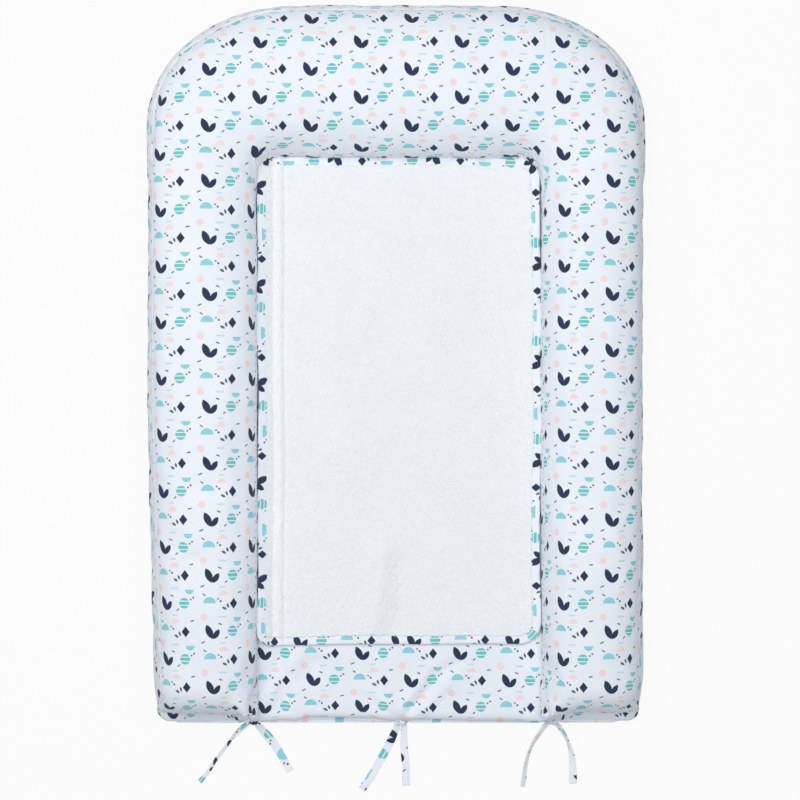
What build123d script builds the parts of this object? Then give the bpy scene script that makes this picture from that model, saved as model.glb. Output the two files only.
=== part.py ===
from build123d import *
import os
from math import atan2, cos, degrees, radians, tan

# A baby changing mat in millimetres: a three-sided padded mat with a well for the baby, welded into a
# wipe-clean vinyl skin, slid into a cotton cover that ties shut at the foot, with a loose terry towel
# in the well. +Z is up, +Y points to the head end, and the origin lies under the middle of the pad.

# Pad, over the cotton cover and without the ties
pad_width = 500
pad_length = 730
pad_height = 88
head_corner_width = 147       # how far the rounded head corner reaches across
head_corner_depth = 117       # how far it reaches down the side
head_corner_tight_radius = 95
foot_corner_radius = 12
shoulder_rounding = 38        # outer top edge of the bolsters
heel_bevel = 7                # lower edge all round

# Well between the bolsters, open towards the foot
well_floor_height = 34
side_bolster_width = 102      # at the floor of the well
head_bolster_width = 150
bolster_lean = 14             # degrees that the inner faces lean back
well_corner_radius = 24
inner_rounding = 30           # inner top edge of the bolsters
apron_length = 72             # sloped strip between the flat floor and the foot
apron_edge_height = 24
apron_edge_rounding = 7

# Layers
cotton_thickness = 0.8
vinyl_thickness = 0.6
layer_gap = 0.3

# Seams and mouth of the cover
back_seam_height = 10         # side band to back panel, and the mouth at the foot
top_seam_height = 70          # side band to top panel
seam_zone_depth = 25          # how far in from the outline the side band may reach
hem_depth = 4
hem_thickness = 1.6
mouth_gap = 0.6
mouth_end_margin = 14         # closed length of the mouth beside each foot corner

# Terry towel, which fills the floor of the well down to the apron
towel_well_gap = 4            # from the towel's sides and head to the foot of the bolsters
towel_foot_margin = 76        # from the towel to the foot wall of the cover
towel_corner_radius = 22
terry_thickness = 3
binding_width = 10
binding_thickness = 0.8
binding_edge = 1              # cotton beyond the edge of the terry

# Hook and loop tabs that hold the towel
tab_length = 40
tab_width = 20
tab_thickness = 0.9
tab_inset = 34                # towel edge to tab centre
tab_gap = 0.3

# Ties
ribbon_width = 8.5
ribbon_thickness = 1.4
knot_width = 15
knot_depth = 8
knot_height = 10
knot_bevel = 3
knot_places = {"left": -149, "middle": 5, "right": 160}

# Each tie leaves its knot and comes down to lie on the table. Points are given from the knot's
# outer face: across, out from the pad, and up from the table.
flat_height = ribbon_thickness / 2 + 0.5   # the ribbon tilts a little as it turns
upper_exit_height = 9
lower_exit_height = 6
tie_routes = {
    "tie_left_upper": ("left", [
        (5, -3, upper_exit_height),
        (14, 5, 5.5),
        (24, 15, 2),
        (33, 27, flat_height),
        (42, 41, flat_height),
    ]),
    "tie_left_lower": ("left", [
        (-5, -3, lower_exit_height),
        (-16, 6, 3.2),
        (-26, 20, flat_height),
        (-36, 33, flat_height),
        (-43, 43, flat_height),
        (-51, 52, flat_height),
    ]),
    "tie_middle_upper": ("middle", [
        (-3, -3, upper_exit_height),
        (-8, 9, 5.6),
        (-14, 21, 2.2),
        (-23, 37, flat_height),
        (-31, 52, flat_height),
        (-41, 66, flat_height),
    ]),
    "tie_middle_lower": ("middle", [
        (3, -3, lower_exit_height),
        (2.5, 9, 3),
        (3, 24, flat_height),
        (5.5, 41, flat_height),
        (5, 56, flat_height),
    ]),
    "tie_right_upper": ("right", [
        (-5, -3, upper_exit_height),
        (-14, 7, 5.5),
        (-22, 18, 2.4),
        (-28, 33, flat_height),
        (-30.5, 45, flat_height),
        (-32, 56, flat_height),
    ]),
    "tie_right_lower": ("right", [
        (5, -3, lower_exit_height),
        (12, 5.5, 3.2),
        (17.5, 19, flat_height),
        (20.5, 36, flat_height),
        (20, 53, flat_height),
    ]),
}

# Worked out from the sizes above
half_width = pad_width / 2
head_y = pad_length / 2
hem_edge_y = -pad_length / 2
foot_y = hem_edge_y + hem_depth
apron_start_y = foot_y + apron_length
run_out = 60                  # how far a blank or a cutter passes the form it shapes
cotton_inside = cotton_thickness
vinyl_outside = cotton_inside + layer_gap
vinyl_inside = vinyl_outside + vinyl_thickness
fill_outside = vinyl_inside + layer_gap
fill_base_top = well_floor_height - fill_outside
terry_bottom = well_floor_height + 2 * tab_thickness + tab_gap
towel_width = pad_width - 2 * side_bolster_width - 2 * towel_well_gap
towel_head_y = head_y - head_bolster_width - towel_well_gap
towel_foot_y = foot_y + towel_foot_margin
towel_length = towel_head_y - towel_foot_y
towel_centre_y = (towel_head_y + towel_foot_y) / 2


def head_outline(inset, foot_end):
    """Draw the pad's plan outline, moved in by inset, square-cut at foot_end."""
    across = head_corner_width - inset
    down = head_corner_depth - inset
    tight = head_corner_tight_radius - inset
    # The corner is two tangent arcs. The wide arc's radius follows from the corner's two reaches.
    wide = (across**2 + down**2 - 2 * across * tight) / (2 * (down - tight))
    tight_turn = degrees(atan2(wide - down, across - tight))
    side_x = half_width - inset
    with BuildLine() as outline:
        side = Line((side_x, foot_end), (side_x, head_y - head_corner_depth))
        turn = JernArc(side @ 1, side % 1, tight, tight_turn)
        shoulder = JernArc(turn @ 1, turn % 1, wide, 90 - tight_turn)
        Line(shoulder @ 1, (0, head_y - inset))
        mirror(about=Plane.YZ)
        Line((-side_x, foot_end), (side_x, foot_end))
    return outline.line


def well_cutter(inset):
    """The space of the well, from its floor up, with its walls moved out by inset."""
    wall_shift = inset / cos(radians(bolster_lean))
    half_well = half_width - side_bolster_width + wall_shift
    well_head_y = head_y - head_bolster_width + wall_shift
    well_foot_y = foot_y - run_out
    floor = well_floor_height - inset
    lip = apron_edge_height - inset
    lip_rounding = apron_edge_rounding - inset
    wall_y = foot_y + inset
    above = pad_height + run_out
    with BuildPart() as well:
        with BuildSketch() as plan:
            with Locations((0, (well_head_y + well_foot_y) / 2)):
                Rectangle(2 * half_well, well_head_y - well_foot_y)
            fillet(plan.vertices().group_by(Axis.Y)[-1], well_corner_radius)
        extrude(amount=above)
        walls = well.faces().filter_by(Axis.Z, reverse=True).sort_by(Axis.Y)[1:]
        draft(walls, neutral_plane=Plane.XY.offset(well_floor_height), angle=-bolster_lean)
        with BuildSketch(Plane.YZ):
            with BuildLine():
                apron = Polyline(
                    (head_y, floor), (apron_start_y, floor), (wall_y + lip_rounding, lip)
                )
                edge = RadiusArc(apron @ 1, (wall_y, lip - lip_rounding), -lip_rounding)
                Polyline(
                    edge @ 1,
                    (well_foot_y, lip - lip_rounding),
                    (well_foot_y, above),
                    (head_y, above),
                    (head_y, floor),
                )
            make_face()
        extrude(amount=pad_width, both=True, mode=Mode.INTERSECT)
    return well.part


def inset_bevel(inset):
    """The heel's bevel on a form moved in by inset, which keeps the wall even across the bevel."""
    return heel_bevel - inset * (2 - 2**0.5)


def foot_profile(inset):
    """The pad seen from the side: rolled down at the foot, run past the head."""
    roll = shoulder_rounding - inset
    bevel = inset_bevel(inset)
    top = pad_height - inset
    wall_y = foot_y + inset
    past_head = head_y + run_out
    with BuildSketch(Plane.YZ) as profile:
        with BuildLine():
            top_line = Line((past_head, top), (wall_y + roll, top))
            shoulder = RadiusArc(top_line @ 1, (wall_y, top - roll), -roll)
            Polyline(
                shoulder @ 1,
                (wall_y, inset + bevel),
                (wall_y + bevel, inset),
                (past_head, inset),
                (past_head, top),
            )
        make_face()
    return profile.sketch


def padded_form(inset):
    """The whole pad with every face moved in by inset: a loaf with a well, rolled down at the foot."""
    blank_foot = foot_y - run_out
    outline = head_outline(inset, blank_foot)
    well = well_cutter(inset)
    side_view = foot_profile(inset)
    top = pad_height - inset
    well_top_half = half_width - side_bolster_width + pad_height * tan(radians(bolster_lean))
    well_top_y = head_y - head_bolster_width + pad_height * tan(radians(bolster_lean))
    with BuildPart() as form:
        with BuildSketch(Plane.XY.offset(inset)):
            add(outline)
            make_face()
        extrude(amount=pad_height - 2 * inset)
        top_rim = form.faces().sort_by(Axis.Z)[-1].edges().sort_by(Axis.Y)[1:]
        fillet(top_rim, shoulder_rounding - inset)
        bottom_rim = form.faces().sort_by(Axis.Z)[0].edges().sort_by(Axis.Y)[1:]
        chamfer(bottom_rim, inset_bevel(inset))
        add(well, mode=Mode.SUBTRACT)
        top_edges = form.edges().filter_by_position(Axis.Z, top - 0.01, top + 0.01)
        well_rim = top_edges.filter_by(
            lambda edge: abs(edge.center().X) < well_top_half and edge.center().Y < well_top_y
        )
        fillet(well_rim, inner_rounding - inset)
        extrude(to_extrude=side_view, amount=pad_width, both=True, mode=Mode.INTERSECT)
        with BuildSketch() as plan:
            with Locations((0, (head_y + run_out + foot_y + inset) / 2)):
                Rectangle(pad_width - 2 * inset, head_y + run_out - foot_y - inset)
            fillet(plan.vertices().group_by(Axis.Y)[0], foot_corner_radius - inset)
        extrude(amount=pad_height, mode=Mode.INTERSECT)
    return form.part


def finish(piece, name):
    """Label a finished piece and write it as its own STEP file."""
    piece.label = name
    export_step(piece, f"parts/{name}.step")


os.makedirs("parts", exist_ok=True)

# Nested forms, from the cover's outside to the filling
cover_form = padded_form(0)
cover_inner_form = padded_form(cotton_inside)
vinyl_form = padded_form(vinyl_outside)
vinyl_inner_form = padded_form(vinyl_inside)
fill_form = padded_form(fill_outside)

# Cotton cover: top panel, side band and back panel
with BuildPart() as cover_shell:
    add(cover_form)
    add(cover_inner_form, mode=Mode.SUBTRACT)

band_outline = head_outline(seam_zone_depth, foot_y - run_out)
with BuildPart() as band_zone:
    with BuildSketch(Plane.XY.offset(back_seam_height)):
        band_foot_y = foot_y + foot_corner_radius
        with Locations((0, (head_y + run_out + band_foot_y) / 2)):
            Rectangle(pad_width + run_out, head_y + run_out - band_foot_y)
        with BuildSketch(mode=Mode.SUBTRACT):
            add(band_outline)
            make_face()
    extrude(amount=top_seam_height - back_seam_height)

with BuildPart() as mouth:
    with Locations((0, foot_y, back_seam_height)):
        Box(pad_width - 2 * mouth_end_margin, 4 * cotton_thickness, mouth_gap)

with BuildPart() as cover_top_panel:
    add(cover_shell.part)
    split(bisect_by=Plane.XY.offset(back_seam_height), keep=Keep.TOP)
    add(band_zone.part, mode=Mode.SUBTRACT)
    add(mouth.part, mode=Mode.SUBTRACT)
finish(cover_top_panel.part, "cover_top_panel")

with BuildPart() as cover_side_band:
    add(cover_shell.part)
    add(band_zone.part, mode=Mode.INTERSECT)
finish(cover_side_band.part, "cover_side_band")

with BuildPart() as cover_back_panel:
    add(cover_shell.part)
    split(bisect_by=Plane.XY.offset(back_seam_height), keep=Keep.BOTTOM)
    add(mouth.part, mode=Mode.SUBTRACT)
finish(cover_back_panel.part, "cover_back_panel")

# Hems, one along each lip of the mouth
for hem_name, side_sign in (("cover_upper_hem", 1), ("cover_lower_hem", -1)):
    hem_middle = back_seam_height + side_sign * (mouth_gap + hem_thickness) / 2
    with BuildPart() as hem:
        with Locations((0, (foot_y + hem_edge_y) / 2, hem_middle)):
            Box(pad_width - 2 * mouth_end_margin, hem_depth, hem_thickness)
        fillet(hem.edges().filter_by(Axis.X).group_by(Axis.Y)[0], hem_thickness / 3)
    finish(hem.part, hem_name)

# Vinyl skin of the mat, welded where its two halves meet
with BuildPart() as vinyl_shell:
    add(vinyl_form)
    add(vinyl_inner_form, mode=Mode.SUBTRACT)

for skin_name, kept in (("mat_top_skin", Keep.TOP), ("mat_bottom_skin", Keep.BOTTOM)):
    with BuildPart() as skin:
        add(vinyl_shell.part)
        split(bisect_by=Plane.XY.offset(back_seam_height), keep=kept)
    finish(skin.part, skin_name)

# Filling: one base pad with three bolsters on it, mitred at the head corners
with BuildPart() as mat_base_pad:
    add(fill_form)
    split(bisect_by=Plane.XY.offset(fill_base_top), keep=Keep.BOTTOM)
finish(mat_base_pad.part, "mat_base_pad")

with BuildPart() as bolster_ring:
    add(fill_form)
    split(bisect_by=Plane.XY.offset(fill_base_top), keep=Keep.TOP)

mitre_inner = Vector(half_width - side_bolster_width, head_y - head_bolster_width)
mitre_outer = Vector(half_width, head_y)
mitre_run = (mitre_outer - mitre_inner).normalized()
mitre_reach = mitre_inner + mitre_run * 2 * pad_width
with BuildPart() as head_zone:
    with BuildSketch():
        with BuildLine():
            Polyline(
                (mitre_inner.X, mitre_inner.Y),
                (mitre_reach.X, mitre_reach.Y),
                (-mitre_reach.X, mitre_reach.Y),
                (-mitre_inner.X, mitre_inner.Y),
                close=True,
            )
        make_face()
    extrude(amount=2 * pad_height)

with BuildPart() as mat_head_bolster:
    add(bolster_ring.part)
    add(head_zone.part, mode=Mode.INTERSECT)
finish(mat_head_bolster.part, "mat_head_bolster")

for bolster_name, side_sign in (("mat_left_bolster", -1), ("mat_right_bolster", 1)):
    with BuildPart() as side_bolster:
        add(bolster_ring.part)
        add(head_zone.part, mode=Mode.SUBTRACT)
        split(bisect_by=Plane.YZ, keep=Keep.TOP if side_sign > 0 else Keep.BOTTOM)
    finish(side_bolster.part, bolster_name)

# Terry towel with its cotton binding, which folds round the edge of the terry
with BuildPart() as towel_terry:
    with BuildSketch(Plane.XY.offset(terry_bottom)):
        with Locations((0, towel_centre_y)):
            RectangleRounded(
                towel_width - 2 * binding_edge,
                towel_length - 2 * binding_edge,
                towel_corner_radius - binding_edge,
            )
    extrude(amount=terry_thickness)
finish(towel_terry.part, "towel_terry")

with BuildPart() as towel_binding:
    with BuildSketch(Plane.XY.offset(terry_bottom - binding_thickness)):
        with Locations((0, towel_centre_y)):
            RectangleRounded(towel_width, towel_length, towel_corner_radius)
            RectangleRounded(
                towel_width - 2 * binding_width,
                towel_length - 2 * binding_width,
                towel_corner_radius - binding_width,
                mode=Mode.SUBTRACT,
            )
    extrude(amount=terry_thickness + 2 * binding_thickness)
    add(towel_terry.part, mode=Mode.SUBTRACT)
finish(towel_binding.part, "towel_binding")

# Hook tabs under the towel's corners, on loop tabs sewn to the cover
tab_spacing_x = towel_width - 2 * tab_inset
tab_spacing_y = towel_length - 2 * tab_inset
for tabs_name, tab_bottom in (
    ("cover_loop_tabs", well_floor_height),
    ("towel_hook_tabs", terry_bottom - tab_thickness),
):
    with BuildPart() as tabs:
        with BuildSketch(Plane.XY.offset(tab_bottom)):
            with Locations((0, towel_centre_y)):
                with GridLocations(tab_spacing_x, tab_spacing_y, 2, 2):
                    Rectangle(tab_width, tab_length)
        extrude(amount=tab_thickness)
    finish(tabs.part, tabs_name)

# Knots, one at each pair of ties, against the edges of both hems
for place, knot_x in knot_places.items():
    with BuildPart() as knot:
        with Locations((knot_x, hem_edge_y - knot_depth / 2, back_seam_height)):
            Box(knot_width, knot_depth, knot_height)
        chamfer(knot.edges().filter_by(Axis.Y), knot_bevel)
        chamfer(knot.faces().sort_by(Axis.Y)[0].edges(), knot_bevel / 2)
    finish(knot.part, f"knot_{place}")


def bend_radii(points):
    """The largest arc at each corner of a route: 0.45 of its shorter run over tan(half the turn)."""
    radii = []
    for before, corner, after in zip(points, points[1:], points[2:]):
        arriving = corner - before
        leaving = after - corner
        half_turn = radians(arriving.get_angle(leaving)) / 2
        radii.append(0.45 * min(arriving.length, leaving.length) / tan(half_turn))
    return radii


# Ties: flat ribbons that stay level across their width
for tie_name, (place, steps) in tie_routes.items():
    knot_face_y = hem_edge_y - knot_depth
    route = [Vector(knot_places[place] + x, knot_face_y - y, z) for x, y, z in steps]
    radii = bend_radii(route)
    with BuildPart() as tie:
        with BuildLine() as run:
            path = FilletPolyline(*route, radius=radii)
        start_way = path % 0
        across_way = Vector(0, 0, 1).cross(start_way)
        with BuildSketch(Plane(origin=path @ 0, x_dir=across_way, z_dir=start_way)):
            Rectangle(ribbon_width, ribbon_thickness)
        sweep(path=path)
    filled = tie.part.volume / (ribbon_width * ribbon_thickness * path.length)
    print(tie_name, "radii", [round(r) for r in radii], "length", round(path.length, 1))
    print("    volume over section times length", round(filled, 3))
    finish(tie.part, tie_name)
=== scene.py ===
import math

import bpy
import numpy as np
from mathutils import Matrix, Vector, kdtree
from mathutils.geometry import delaunay_2d_cdt


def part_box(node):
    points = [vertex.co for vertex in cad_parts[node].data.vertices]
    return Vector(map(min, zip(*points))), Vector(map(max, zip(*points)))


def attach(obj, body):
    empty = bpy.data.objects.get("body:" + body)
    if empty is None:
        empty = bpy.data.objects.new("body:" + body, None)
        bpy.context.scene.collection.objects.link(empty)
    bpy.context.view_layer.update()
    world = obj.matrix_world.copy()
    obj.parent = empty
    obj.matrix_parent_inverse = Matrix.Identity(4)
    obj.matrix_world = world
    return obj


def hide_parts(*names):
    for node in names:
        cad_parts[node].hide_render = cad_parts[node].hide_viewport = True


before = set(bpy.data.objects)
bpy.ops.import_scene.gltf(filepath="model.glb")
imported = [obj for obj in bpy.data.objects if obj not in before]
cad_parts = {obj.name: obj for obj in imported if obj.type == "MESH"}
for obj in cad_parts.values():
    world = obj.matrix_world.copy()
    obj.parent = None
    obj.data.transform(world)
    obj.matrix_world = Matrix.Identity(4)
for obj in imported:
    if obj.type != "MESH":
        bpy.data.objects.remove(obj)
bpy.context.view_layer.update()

# A padded baby changing mat, seen from straight above: a cotton cover over a three-sided mat, a terry
# towel in its well and three pairs of ties at the foot. Everything is in metres, in the CAD's frame.
MM = 0.001
scene = bpy.context.scene

# Places read from the frame
back_low, back_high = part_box("cover_back_panel")
towel_low, towel_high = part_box("towel_binding")
terry_low, terry_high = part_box("towel_terry")
tabs_low, tabs_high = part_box("cover_loop_tabs")
upper_hem_low, upper_hem_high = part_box("cover_upper_hem")
lower_hem_low, lower_hem_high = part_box("cover_lower_hem")
pad_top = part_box("cover_top_panel")[1].z
half_width, head_y = back_high.x, back_high.y
foot_y = upper_hem_low.y - 2.5 * MM   # the cotton's foot edge, which the hems pass by a little
back_seam_z = back_high.z
well_floor = tabs_low.z
pad_middle_y = (head_y + foot_y) / 2

# Well, from the towel that fills it
towel_gap = 4 * MM
towel_shift = 3 * MM          # the towel and the bolsters' feet lie a little to the right
well_half = towel_high.x + 0.6 * MM
well_head_y = towel_high.y + 0.8 * MM
well_corner = 24 * MM

# Plan outline of the pad, as in the frame
head_corner_width = 147 * MM
head_corner_depth = 117 * MM
tight_radius = 95 * MM
foot_corner = 12 * MM
wide_radius = (
    head_corner_width**2 + head_corner_depth**2 - 2 * head_corner_width * tight_radius
) / (2 * (head_corner_depth - tight_radius))
tight_centre = (half_width - tight_radius, head_y - head_corner_depth)
tight_turn = math.atan2(wide_radius - head_corner_depth, head_corner_width - tight_radius)
wide_centre = (half_width - head_corner_width, head_y - wide_radius)

# Stuffed shape of the bolsters
crown = 4 * MM                # how far the stuffing lifts the bolsters' crest
crest_share = 0.49            # where the crest lies, from the well (0) to the outline (1)
inner_power = 2.6
outer_power = 2.4
side_bulge_z = 44 * MM        # widest height of the pad's side
apron_length = towel_low.y - towel_gap - foot_y
apron_drop = 10 * MM
apron_lip = 9 * MM
foot_roll = 34 * MM           # how far up the bolsters their rounded foot ends reach
roll_power = 2.4
skirt_length = 12 * MM        # loose cotton past the bolsters' foot ends, gathered by the ties
skirt_height = 8 * MM
foot_fall = 14 * MM           # how much lower the bolsters' crest is at the foot
foot_fall_reach = 170 * MM
hem_top_z = back_seam_z + 1 * MM
corner_start = 12 * MM        # where the side band starts, up from the foot
corner_end = 46 * MM          # where it has its full height
heel_reach = 9 * MM
heel_inset = 2.9 * MM
rest_z = 0.2 * MM
head_lean = -2.5 * MM         # how far the left side leans out above the middle
foot_lean = 3.6 * MM          # and in at the foot

# Cotton cover
cover_spacing = 5.5 * MM
back_spacing = 14 * MM
cotton_thickness = 0.8 * MM
seam_depth = 2.2 * MM         # seam allowance, turned in
stuffing_pressure = 4
cover_slack = 0.012           # how much larger the cotton is cut than the stuffing needs
seam_gather = 0.02            # how much the seams draw the cotton in
cover_cap = 7 * MM            # furthest that the stuffing moves the cotton
settle_frames = 20
pucker_reach = 34 * MM
pucker_height = 1.5 * MM
knot_names = ("knot_left", "knot_middle", "knot_right")

# Folds in the cover: start, end, height, width. The long one crosses the apron to the middle ties.
cover_folds = [
    ((72 * MM, -300 * MM), (30 * MM, -324 * MM), -2.6 * MM, 5 * MM),
    ((48 * MM, -312 * MM), (10 * MM, -362 * MM), -3.6 * MM, 3.6 * MM),
    ((60 * MM, -318 * MM), (19 * MM, -364 * MM), 2.6 * MM, 5 * MM),
    ((34 * MM, -312 * MM), (0 * MM, -358 * MM), 2.2 * MM, 5 * MM),
    ((-96 * MM, -290 * MM), (-140 * MM, -352 * MM), 3.2 * MM, 7 * MM),
    ((-80 * MM, -298 * MM), (-92 * MM, -330 * MM), -3 * MM, 9 * MM),
    ((-122 * MM, -290 * MM), (-116 * MM, -356 * MM), -3.4 * MM, 9 * MM),
    ((-40 * MM, -325 * MM), (0 * MM, -356 * MM), 1.8 * MM, 5 * MM),
    ((128 * MM, -300 * MM), (156 * MM, -350 * MM), 1.5 * MM, 7 * MM),
]

# Terry towel
towel_corner = 22 * MM
towel_left_corner = 14 * MM
binding_width = 9.5 * MM
terry_spacing = 1.7 * MM
terry_inset = 8.4 * MM
towel_folds = [
    ((-12 * MM, -170 * MM), (-24 * MM, -284 * MM), 3.8 * MM, 10 * MM),
    ((6 * MM, -186 * MM), (2 * MM, -284 * MM), -2.4 * MM, 9 * MM),
    ((30 * MM, -200 * MM), (36 * MM, -284 * MM), 1.8 * MM, 10 * MM),
    ((58 * MM, 60 * MM), (66 * MM, -120 * MM), 1.2 * MM, 16 * MM),
    ((-60 * MM, 120 * MM), (-66 * MM, -60 * MM), 0.9 * MM, 14 * MM),
]

# Ties
ribbon_width = 8.5 * MM
ribbon_thickness = 1.4 * MM
knot_tuck = 2.5 * MM          # how far the soft knots sink into the gathered hems

# Light
key_power = 18
overhead_power = 16
fill_strength = 0.45
fill_colour = (0.9, 0.95, 1.0, 1)
floor_colour = (0.62, 0.63, 0.65, 1)
floor_whiteness = 0.92        # share of the floor's look that is plain white

# Camera, straight above the pad
camera_height = 2.4
picture_width = 0.8128        # what the picture takes in at the pad's widest height
picture_centre = (3.8 * MM, -36.1 * MM)


def smooth_step(value, start, end):
    share = np.clip((value - start) / (end - start), 0, 1)
    return share * share * (3 - 2 * share)


def blend_to(low, high, share):
    return low + (high - low) * share


def ripple(x, y, wavelength, seed, waves=7):
    """Smooth uneven values from about -1 to 1, with bumps about a wavelength apart."""
    draw = np.random.default_rng(seed)
    total = np.zeros_like(np.asarray(x, float) + np.asarray(y, float))
    for _ in range(waves):
        turn, phase = draw.uniform(0, 2 * math.pi, 2)
        pace = 2 * math.pi / (wavelength * draw.uniform(0.7, 1.5))
        total = total + np.sin(pace * (x * math.cos(turn) + y * math.sin(turn)) + phase)
    return total / math.sqrt(waves)


# ---------------------------------------------------------------- camera and light

def make_camera():
    camera = bpy.data.objects.new("camera", bpy.data.cameras.new("camera"))
    camera.data.sensor_width = 36
    camera.data.lens = camera.data.sensor_width * camera_height / picture_width
    camera.location = (*picture_centre, camera_height + side_bulge_z)
    camera.data.clip_end = 20
    scene.collection.objects.link(camera)
    scene.camera = camera


def soft_light(name, place, aim, size, power, colour):
    light = bpy.data.lights.new(name, "AREA")
    light.shape, light.size, light.energy, light.color = "DISK", size, power, colour
    lamp = bpy.data.objects.new(name, light)
    lamp.location = place
    lamp.rotation_euler = (Vector(aim) - Vector(place)).to_track_quat("-Z", "Y").to_euler()
    scene.collection.objects.link(lamp)


# ---------------------------------------------------------------- meshes

def new_object(name, points, faces, corner_uv=None):
    """A smooth mesh object. corner_uv gives fabric places in metres, face by face and corner by corner."""
    mesh = bpy.data.meshes.new(name)
    mesh.from_pydata([tuple(p) for p in points], [], [tuple(f) for f in faces])
    mesh.polygons.foreach_set("use_smooth", [True] * len(mesh.polygons))
    if corner_uv is not None:
        layer = mesh.uv_layers.new(name="fabric")
        layer.data.foreach_set("uv", np.asarray(corner_uv, np.float32).ravel())
    mesh.update()
    thing = bpy.data.objects.new(name, mesh)
    scene.collection.objects.link(thing)
    return thing


def triangulate(ring, inner):
    """Triangles over a closed ring of plan points with loose points inside it."""
    places = [Vector(p) for p in np.vstack([ring, inner])]
    boundary = [list(range(len(ring)))]
    faces = np.array(delaunay_2d_cdt(places, [], boundary, 1, 1e-7, True)[2], int)
    middles = np.vstack([ring, inner])[faces].mean(1)
    return faces[inside_ring(ring, middles)]


def inside_ring(ring, places):
    """Which places lie inside a closed ring, by how many of its sides each one has to its right."""
    x, y = places.T
    crossings = np.zeros(len(places), int)
    for (ax, ay), (bx, by) in zip(ring, np.roll(ring, -1, axis=0)):
        if ay == by:
            continue
        spans = (ay > y) != (by > y)
        crossings += spans & (x < ax + (y - ay) / (by - ay) * (bx - ax))
    return crossings % 2 == 1


def loose_points(ring, spacing, allowed=None):
    """An even triangular grid of points inside a ring, clear of the ring itself."""
    low, high = ring.min(0), ring.max(0)
    row_gap = spacing * math.sqrt(3) / 2
    rows = np.arange(low[1], high[1], row_gap)
    columns = np.arange(low[0], high[0], spacing)
    x, y = np.meshgrid(columns, rows)
    x = x + (np.arange(len(rows)) % 2)[:, None] * spacing / 2
    grid = np.stack([x.ravel(), y.ravel()], axis=1)
    if allowed is not None:
        grid = grid[allowed(grid)]
    tree = kdtree.KDTree(len(ring))
    for index, place in enumerate(ring):
        tree.insert((*place, 0), index)
    tree.balance()
    clear = [tree.find((*place, 0))[2] > 0.6 * spacing for place in grid]
    return grid[np.array(clear, bool)]


def face_normals(points, faces):
    a, b, c = (points[faces[:, k]] for k in range(3))
    return np.cross(b - a, c - a)


def vertex_normals(points, faces):
    normals = np.zeros_like(points)
    across = face_normals(points, faces)
    for k in range(3):
        np.add.at(normals, faces[:, k], across)
    return normals / np.maximum(np.linalg.norm(normals, axis=1, keepdims=True), 1e-12)


def smoothed(points, faces, fixed, rounds, strength=0.5):
    """Points drawn towards the middle of their neighbours. fixed is 1 where a point stays."""
    pairs = np.vstack([faces[:, [0, 1]], faces[:, [1, 2]], faces[:, [2, 0]]])
    count = np.zeros(len(points))
    np.add.at(count, pairs[:, 0], 1)
    np.add.at(count, pairs[:, 1], 1)
    move = (1 - fixed)[:, None] * strength
    for _ in range(rounds):
        total = np.zeros_like(points)
        np.add.at(total, pairs[:, 0], points[pairs[:, 1]])
        np.add.at(total, pairs[:, 1], points[pairs[:, 0]])
        points = points + move * (total / np.maximum(count, 1)[:, None] - points)
    return points


# ---------------------------------------------------------------- form of the pad

def arc(centre, radius, start, end):
    """Points along an arc in plan, every half millimetre."""
    turn = np.linspace(start, end, max(3, int(abs(end - start) * radius / (0.5 * MM))))
    return np.stack([centre[0] + radius * np.cos(turn), centre[1] + radius * np.sin(turn)], axis=1)


def evenly(line, spacing, closed=False):
    """The line again with points evenly spaced, and how far along each one is."""
    if closed:
        line = np.vstack([line, line[:1]])
    along = np.concatenate([[0], np.cumsum(np.linalg.norm(np.diff(line, axis=0), axis=1))])
    count = int(round(along[-1] / spacing))
    places = np.linspace(0, along[-1], count + 1)
    if closed:
        places = places[:-1]
    spread = [np.interp(places, along, line[:, k]) for k in range(line.shape[1])]
    return np.stack(spread, axis=1), places


def pad_outline(spacing):
    """The pad's plan outline, counter-clockwise from the middle of the foot, with outward normals."""
    foot_centre = (half_width - foot_corner, foot_y + foot_corner)
    right = np.vstack([
        [(0, foot_y)],
        arc(foot_centre, foot_corner, -math.pi / 2, 0),
        arc(tight_centre, tight_radius, 0, tight_turn),
        arc(wide_centre, wide_radius, tight_turn, math.pi / 2),
    ])
    left = right[::-1] * (-1, 1)
    line, along = evenly(np.vstack([right, left[:-1]]), spacing, closed=True)
    way = np.roll(line, -1, axis=0) - np.roll(line, 1, axis=0)
    way /= np.linalg.norm(way, axis=1, keepdims=True)
    return line, np.stack([way[:, 1], -way[:, 0]], axis=1), along


def drawn_in(line, normals, reach):
    """The outline moved inwards, by less where a foot corner is too tight for it."""
    from_corner = np.hypot(
        np.maximum(half_width - foot_corner - np.abs(line[:, 0]), 0),
        np.maximum(line[:, 1] - foot_y - foot_corner, 0),
    )
    room = 0.8 * foot_corner + 0.5 * from_corner
    return line - normals * np.minimum(reach, room)[:, None]


def side_distance(x, y):
    """How far in from the outline a place is, from the sides and the head."""
    x = np.abs(x)
    tight_x, tight_y = x - tight_centre[0], y - tight_centre[1]
    wide_x, wide_y = x - wide_centre[0], y - wide_centre[1]
    wide_angle = np.arctan2(wide_y, wide_x)
    in_tight = (tight_y > 0) & (tight_x > 0) & (np.arctan2(tight_y, tight_x) <= tight_turn)
    in_wide = (wide_angle >= tight_turn) & (wide_angle <= math.pi / 2)
    far = np.full_like(x + y, 10.0)
    side = np.where(tight_y <= 0, half_width - x, far)
    head = np.where(wide_x <= 0, head_y - y, far)
    tight = np.where(in_tight, tight_radius - np.hypot(tight_x, tight_y), far)
    wide = np.where(in_wide, wide_radius - np.hypot(wide_x, wide_y), far)
    return np.minimum(np.minimum(side, head), np.minimum(tight, wide))


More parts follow.
